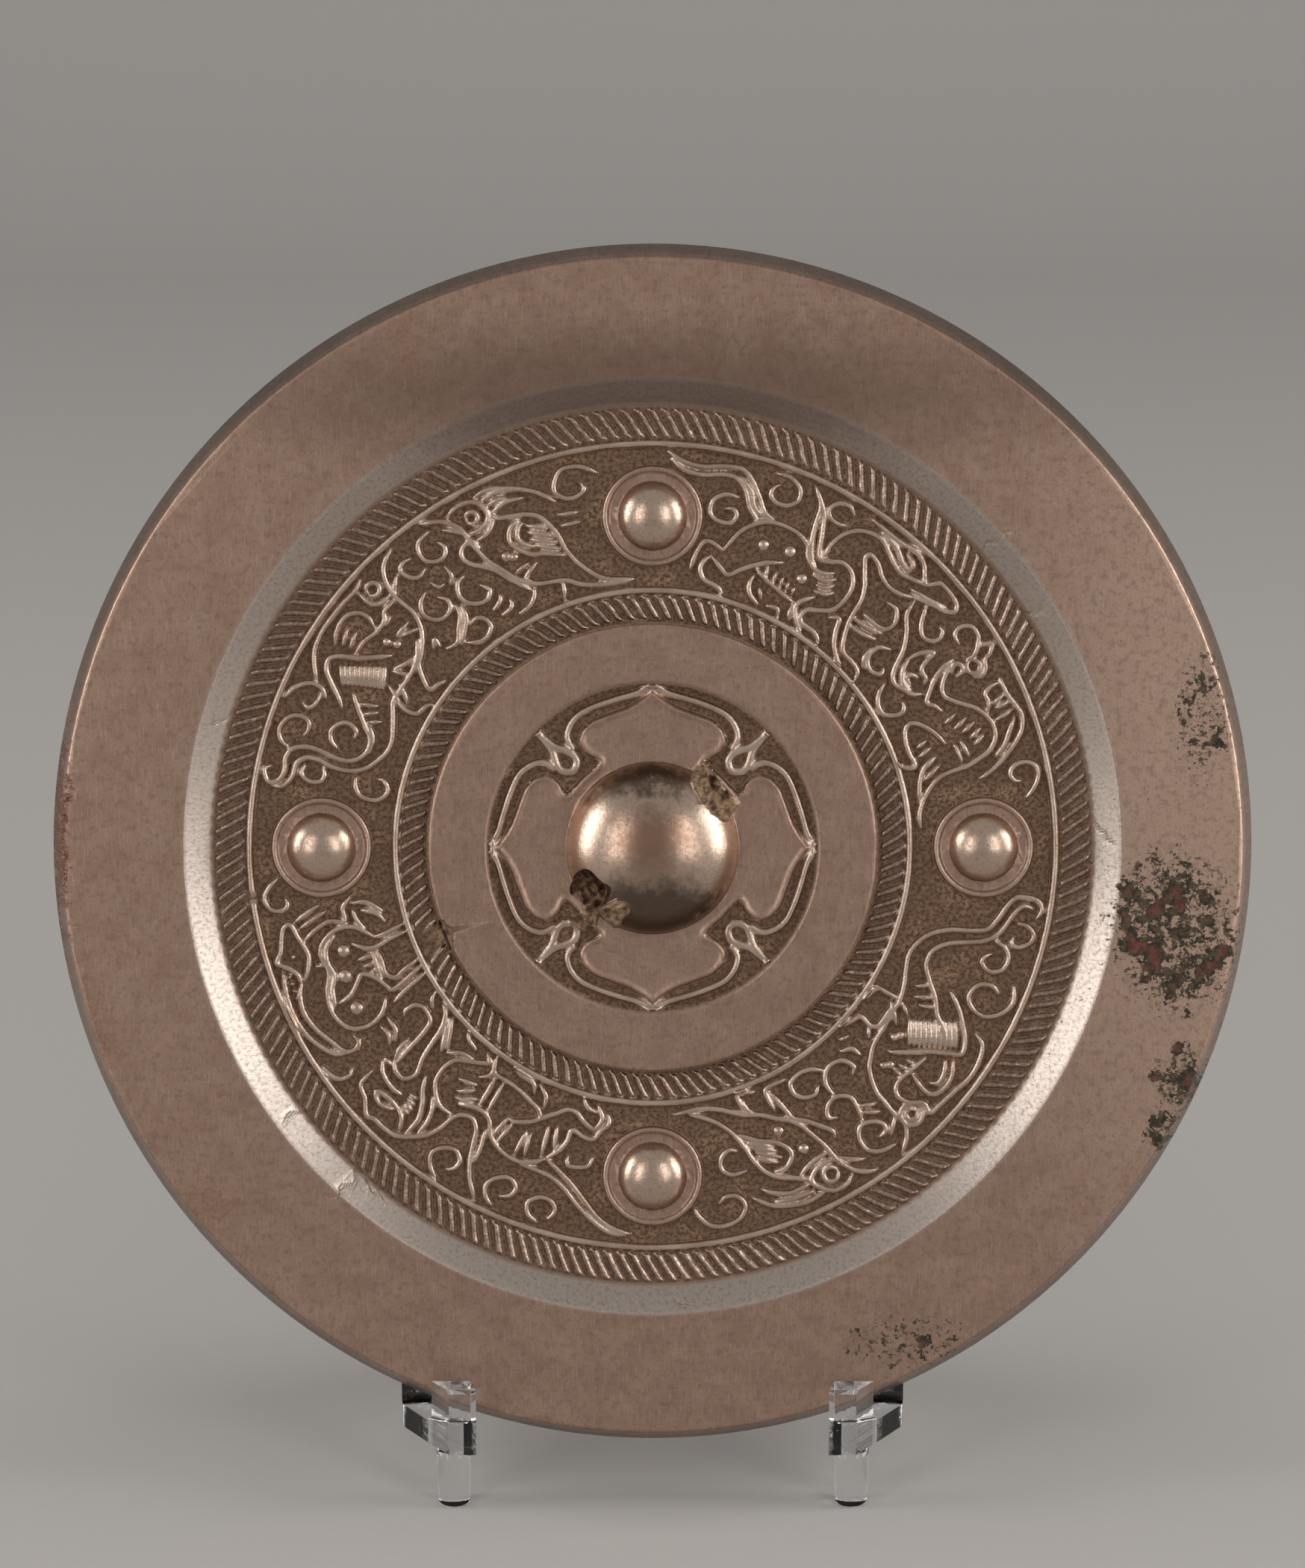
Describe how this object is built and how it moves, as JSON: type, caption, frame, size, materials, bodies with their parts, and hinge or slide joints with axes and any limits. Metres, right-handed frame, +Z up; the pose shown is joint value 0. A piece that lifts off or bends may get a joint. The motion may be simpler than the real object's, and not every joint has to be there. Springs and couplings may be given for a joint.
{
  "type": "bronze mirror in display cradle",
  "caption": "Round cast bronze mirror with a knob, nipples and relief beasts on its back, leaning upright in the notches of a clear acrylic cradle.",
  "frame": {"origin": "on the ground under the middle of the mirror and cradle's bounding box", "axes": "+Z up; the decorated side of the mirror looks towards -Y and the mirror leans back towards +Y; +X is to the right seen from the decorated side"},
  "size_m": [0.16, 0.0508, 0.163],
  "materials": {
    "bronze": "old satin bronze with brown patina, brighter where worn, dark dirt in the relief and corrosion spots",
    "clear_acrylic": "clear polished acrylic with faintly frosted sawn edges"
  },
  "bodies": {
    "root": {"mirror": "bronze", "stand_ring": "clear_acrylic", "stand_back_arm": "clear_acrylic", "stand_peg_left": "clear_acrylic", "stand_peg_right": "clear_acrylic", "stand_peg_back": "clear_acrylic"}
  },
  "joints": []
}
